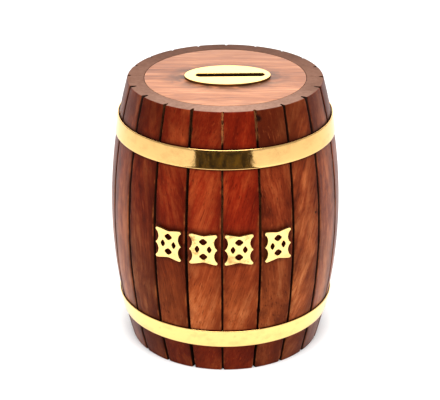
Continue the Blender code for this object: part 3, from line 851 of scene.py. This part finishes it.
# Dark brass for the side walls of the plate and the ornaments: tarnish, darkened further as painted shade.
EDGE_SKIN = brass("cast_edge", colour=(0.20, 0.10, 0.035), tarnish=(0.05, 0.025, 0.012), amount=0.9,
                  brushed=(900, 900, 900), rough=(0.35, 0.5))
oval = [(PLATE_HALF.x * x, PLATE_HALF.y * y) for x, y in circle(1.0, 128)]
plate = add_piece("slot_plate_oval",
                  plate_mesh([turned_about(oval, PLATE_MIDDLE, SLOT_TURN), slot()],
                             PLATE_LOW.z - 0.2 * MM, PLATE_HIGH.z),
                  [PLATE_SKIN], "barrel", "slot_plate")
bevel(darken_walls(plate, Vector(UP), EDGE_SKIN), 0.20 * MM, 3)


# ---------------- ornaments
def smooth_outline(points, rounds=2):
    """Chaikin cutting: softens a closed outline but keeps its shape."""
    for _ in range(rounds):
        cut = []
        for (x0, y0), (x1, y1) in zip(points, points[1:] + points[:1]):
            cut += [(x0 * 0.8 + x1 * 0.2, y0 * 0.8 + y1 * 0.2), (x0 * 0.2 + x1 * 0.8, y0 * 0.2 + y1 * 0.8)]
        points = cut
    return points


# Middle and half sizes of the piercings, as shares of the half width and half height.
LOZENGES = ((0.0, 0.48, 0.34, 0.25), (0.0, -0.48, 0.34, 0.25),
            (0.42, 0.0, 0.20, 0.27), (-0.42, 0.0, 0.20, 0.27))
# Each ornament's tarnish colour and amount, and its turn askew (degrees); the middle two are duller.
ORNAMENT_LOOKS = (((0.62, 0.30, 0.10), 0.45, -0.8), ((0.40, 0.17, 0.045), 0.90, 0.6),
                  ((0.46, 0.21, 0.06), 0.75, -0.4), ((0.62, 0.30, 0.10), 0.45, 0.9))
# Darker brass on the ornaments' chamfers: a painted dark reflection on the facets.
FACET_REFLECTION_SKIN = brass("facet_painted_reflection", colour=(0.42, 0.24, 0.075), tarnish=(0.12, 0.06, 0.02), amount=0.7,
                   brushed=(700, 700, 700), rough=(0.2, 0.35))


def cartouche(w, h):
    """Outline of half width w and half height h, and its four lozenge piercings."""
    quarter = [(w, 0.0), (0.84 * w, 0.13 * h), (0.74 * w, 0.40 * h), (0.82 * w, 0.70 * h), (w, 0.86 * h),
               (0.92 * w, h), (0.45 * w, 0.93 * h)]
    top = quarter + [(0.0, 0.84 * h)] + [(-x, y) for x, y in reversed(quarter)]
    outlines = [smooth_outline(top + [(x, -y) for x, y in reversed(top[1:-1])])]
    for x, y, across, tall in LOZENGES:
        outlines.append(smooth_outline([((x + across) * w, y * h), (x * w, (y + tall) * h),
                                        ((x - across) * w, y * h), (x * w, (y - tall) * h)], 1))
    return outlines


def ornament(node, tarnish, amount, askew):
    """Pierced cartouche with chamfered edges, lying where the CAD one does."""
    material = brass(f"{node}_brass", colour=(0.97, 0.67, 0.25), tarnish=tarnish, amount=amount,
                     brushed=(700, 700, 700), rough=(0.13, 0.24), waves=0.0004)
    azimuth, z, half_width, half_height = ORNAMENTS[node]
    side, out = around(azimuth + 90.0, 1.0, 0.0), around(azimuth, 1.0, 0.0)
    reaches = [p.dot(out) for p in vertices(node)]
    back, front = min(reaches), max(reaches)
    bm = plate_mesh(cartouche(half_width, half_height), 0.0, front - back - 0.02 * MM)
    turn = Matrix((side, Vector(UP), out)).transposed().to_4x4()
    bm.transform(Matrix.Translation(out * back + Vector((0.0, 0.0, z))) @ turn
                 @ Matrix.Rotation(radians(askew), 4, "Z"))
    piece = add_piece(f"{node}_cast", bm, [material, FACET_REFLECTION_SKIN], "barrel", node)
    bevel(darken_walls(piece, out, EDGE_SKIN), 0.34 * MM, 1, 50.0).material = 1


for node, looks in zip(ORNAMENTS, ORNAMENT_LOOKS):
    ornament(node, *looks)


# ---------------- underside
DOOR_LOW, DOOR_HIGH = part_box("coin_door")
LOBE_RADIUS = -DOOR_LOW.y                           # the pivot is on the barrel's axis
DOOR_RADIUS = (DOOR_HIGH.x - DOOR_LOW.x) / 2
DOOR_REACH = DOOR_HIGH.y - DOOR_RADIUS
OUTLET_RADIUS = max(p.y for p in vertices("bottom_head")
                    if hypot(p.x, p.y) < HEAD_SEAT_RADIUS - 2 * MM) - DOOR_REACH
LOCK_AT = middle_of(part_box("lock_screw"))

BOTTOM_WOOD = bare_wood("bottom_wood", (0.22, 0.085, 0.040), (0.36, 0.16, 0.085), (0.46, 0.23, 0.13),
                        (30, 560, 560), rough=(0.55, 0.75))
bottom = plate_mesh([circle(HEAD_SEAT_RADIUS - BOTTOM_HEAD_GAP, 160),
                     circle(OUTLET_RADIUS, 96, (0.0, DOOR_REACH)), circle(HOLE_RADIUS, 32),
                     circle(HOLE_RADIUS, 32, LOCK_AT.xy)],
                    BOTTOM_HEAD_LOW.z, BOTTOM_HEAD_HIGH.z)
bevel(add_piece("bottom_head_disc", bottom, [BOTTOM_WOOD], "barrel", "bottom_head"), 0.25 * MM)

# The door is two circles wrapped by their common tangents, the small one round the pivot.
DOOR_SKIN = brass("door_brass", colour=(0.90, 0.60, 0.24), amount=0.5, brushed=(2000, 60, 60),
                  rough=(0.18, 0.32))
lean = asin((DOOR_RADIUS - LOBE_RADIUS) / DOOR_REACH)
drop = arc(DOOR_RADIUS, -lean, pi + 2 * lean, 96, (0.0, DOOR_REACH))
drop += arc(LOBE_RADIUS, pi + lean, pi - 2 * lean, 40)
door = plate_mesh([drop, circle(HOLE_RADIUS, 40)], DOOR_LOW.z, DOOR_HIGH.z)
bevel(add_piece("coin_door_leaf", door, [DOOR_SKIN], "coin_door", "coin_door"), 0.25 * MM)

SCREW_SKIN = brass("screw_brass", colour=(0.80, 0.54, 0.22), amount=0.6, brushed=(900, 900, 900),
                   rough=(0.18, 0.34))
SHANK_RADIUS = 1.45 * MM
THREAD_ROOT, THREAD_HALF_TURN, THREAD_PITCH = 0.86, 0.28 * MM, 0.70 * MM
PLAIN_NECK, PLAIN_TIP = 1.0 * MM, 1.8 * MM      # shank without thread under the head and at the tip
THINNEST_HEAD = 1.6 * MM
DRIVER_HALF_WIDTH, DRIVER_DEPTH = 0.42 * MM, 0.8 * MM


def screw_profile(head_radius, head_height, length):
    """(radius, z) from the crown of the head, lowest, up a ribbed shank to the tip."""
    dome = [(x, 0.88 * head_height * (1 - y / head_radius)) for x, y in arc(head_radius, pi / 2, -pi / 2, 12)]
    profile = [(0.0, 0.0)] + dome[1:] + [(head_radius, head_height), (SHANK_RADIUS, head_height)]
    root, z = THREAD_ROOT * SHANK_RADIUS, head_height + PLAIN_NECK
    while z < length - PLAIN_TIP:
        profile += [(root, z), (SHANK_RADIUS, z + THREAD_HALF_TURN), (root, z + 2 * THREAD_HALF_TURN)]
        z += THREAD_PITCH
    return profile + [(0.0, length)]


def cut_driver_slot(piece, at, z, half_length):
    """Saw a straight slot across a screw's head, from z upwards, for good."""
    corners = ((-1, -1), (1, -1), (1, 1), (-1, 1))
    blade = [(x * half_length + at.x, y * DRIVER_HALF_WIDTH + at.y) for x, y in corners]
    bm = plate_mesh([blade], z - MM, z + DRIVER_DEPTH)
    bmesh.ops.recalc_face_normals(bm, faces=bm.faces[:])
    mesh = bpy.data.meshes.new("blade")
    bm.to_mesh(mesh)
    bm.free()
    cutter = new_object("blade", mesh)
    sawn = piece.modifiers.new("slot", "BOOLEAN")
    sawn.object, sawn.operation, sawn.solver = cutter, "DIFFERENCE", "EXACT"
    bpy.context.view_layer.update()
    result = bpy.data.meshes.new_from_object(piece.evaluated_get(bpy.context.evaluated_depsgraph_get()))
    piece.modifiers.clear()
    piece.data = result
    result.set_sharp_from_angle(angle=radians(SHARP))
    bpy.data.objects.remove(cutter)


def screw(node, body):
    """Round-headed slotted screw, head lowest."""
    low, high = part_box(node)
    at = middle_of((low, high))
    radius = (high.x - low.x) / 2
    rim = [p.z for p in vertices(node) if hypot(p.x - at.x, p.y - at.y) > radius - 0.1 * MM]
    profile = screw_profile(radius, max(min(rim) - low.z, THINNEST_HEAD), high.z - low.z)
    place = Matrix.Translation((at.x, at.y, low.z))
    piece = add_piece(f"{node}_round", lathe(profile, 48, place), [SCREW_SKIN], body, node)
    cut_driver_slot(piece, at, low.z, radius + MM)


def washer(node, body):
    low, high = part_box(node)
    at = middle_of((low, high)).xy
    ring = plate_mesh([circle((high.x - low.x) / 2, 64, at), circle(HOLE_RADIUS, 40, at)], low.z, high.z)
    bevel(add_piece(f"{node}_ring", ring, [SCREW_SKIN], body, node), 0.15 * MM)


screw("pivot_screw", "barrel")
screw("lock_screw", "lock_screw")
washer("pivot_washer", "barrel")
washer("lock_washer", "lock_washer")


# ---------------- studio
def card(name, corners, material):
    """A flat sheet of the studio, four corners round."""
    mesh = bpy.data.meshes.new(name)
    mesh.from_pydata(corners, [], [(0, 1, 2, 3)])
    mesh.materials.append(material)
    made = new_object(name, mesh)
    return made


def floor(half=4.0, glow_from=0.45, glow_full=1.2, glow=0.44):
    """A pale floor that glows a little far off, so that it runs into the background without a line."""
    g = Graph("floor")
    away = g.node("VectorMath", {0: g.place()}, operation="LENGTH").outputs["Value"]
    light = g.ramp(g.span(away, glow_from, glow_full), [(0.0, (0.0, 0.0, 0.0)), (1.0, (glow, glow, glow))])
    material = g.finish(base_color=rgb(0.93, 0.93, 0.93), roughness=0.9, emission_color=light,
                        emission_strength=1.0)
    card("floor", [(-half, -half, 0), (half, -half, 0), (half, half, 0), (-half, half, 0)], material)


def flag(x=-0.022, y=-0.62, half=0.33, top=0.42, near=-0.24, taper=0.6, z=0.001):
    """Dark cards between the front of the box and the camera side, seen only in reflections.

    They keep the varnish deep and put the dark patch on the front of the upper hoop.
    """
    g = Graph("flag")
    mottle = g.noise(g.place(), (30, 30, 30), 3.0, 0.65)
    dark = g.ramp(mottle, [(0.44, (0.002, 0.0006, 0.0006)), (0.60, (0.080, 0.052, 0.007))])
    material = g.finish(base_color=dark, roughness=0.9)
    foot = [(x - half, y, z), (x + half, y, z)]
    for name, rest in (("flag_upright", [(x + half, y, top), (x - half, y, top)]),
                       ("flag_flat", [(x + half * taper, near, z), (x - half * taper, near, z)])):
        made = card(name, foot + rest, material)
        made.visible_camera = made.visible_diffuse = made.visible_shadow = made.visible_transmission = False


def softbox(name, place, aim, size, radiance):
    light = bpy.data.lights.new(name, "AREA")
    light.shape = "RECTANGLE"
    light.size, light.size_y = size
    light.energy = radiance * pi * size[0] * size[1]
    made = new_object(name, light)
    made.location = place
    made.rotation_euler = (Vector(aim) - Vector(place)).to_track_quat("-Z", "Y").to_euler()
    made.visible_camera = False


def surroundings(light=0.60, seen=1.1):
    """White all round: light on the object, and a shade brighter where the camera sees it."""
    world = bpy.data.worlds.new("studio")
    world.use_nodes = True
    bpy.context.scene.world = world
    nodes, links = world.node_tree.nodes, world.node_tree.links
    lighting, backdrop = nodes["Background"], nodes.new("ShaderNodeBackground")
    for background, strength in ((lighting, light), (backdrop, seen)):
        background.inputs["Color"].default_value = rgb(1, 1, 1)
        background.inputs["Strength"].default_value = strength
    choose = nodes.new("ShaderNodeMixShader")
    links.new(nodes.new("ShaderNodeLightPath").outputs["Is Camera Ray"], choose.inputs[0])
    links.new(lighting.outputs[0], choose.inputs[1])
    links.new(backdrop.outputs[0], choose.inputs[2])
    links.new(choose.outputs[0], nodes["World Output"].inputs["Surface"])


def look(place, pitch, lens, shift_x):
    """The camera, pitch degrees up from looking straight down."""
    camera = bpy.data.cameras.new("camera")
    camera.lens, camera.sensor_width, camera.shift_x = lens, 36.0, shift_x
    camera.clip_start, camera.clip_end = 0.01, 20.0
    made = new_object("camera", camera)
    made.location = place
    made.rotation_euler = (radians(pitch), 0.0, 0.0)
    bpy.context.scene.camera = made


floor()
flag()
softbox("behind", (0.0, 0.75, 0.62), (0.0, 0.0, 0.08), (1.3, 0.9), 2.1)
softbox("front_top", (0.0, -0.30, 0.56), (0.0, -0.20, 0.0), (0.50, 0.35), 8.8)
surroundings()
bpy.context.scene.view_settings.view_transform = "Standard"
look((0.0, -0.7112, 0.38925), 65.53, 136.66, -0.01205)
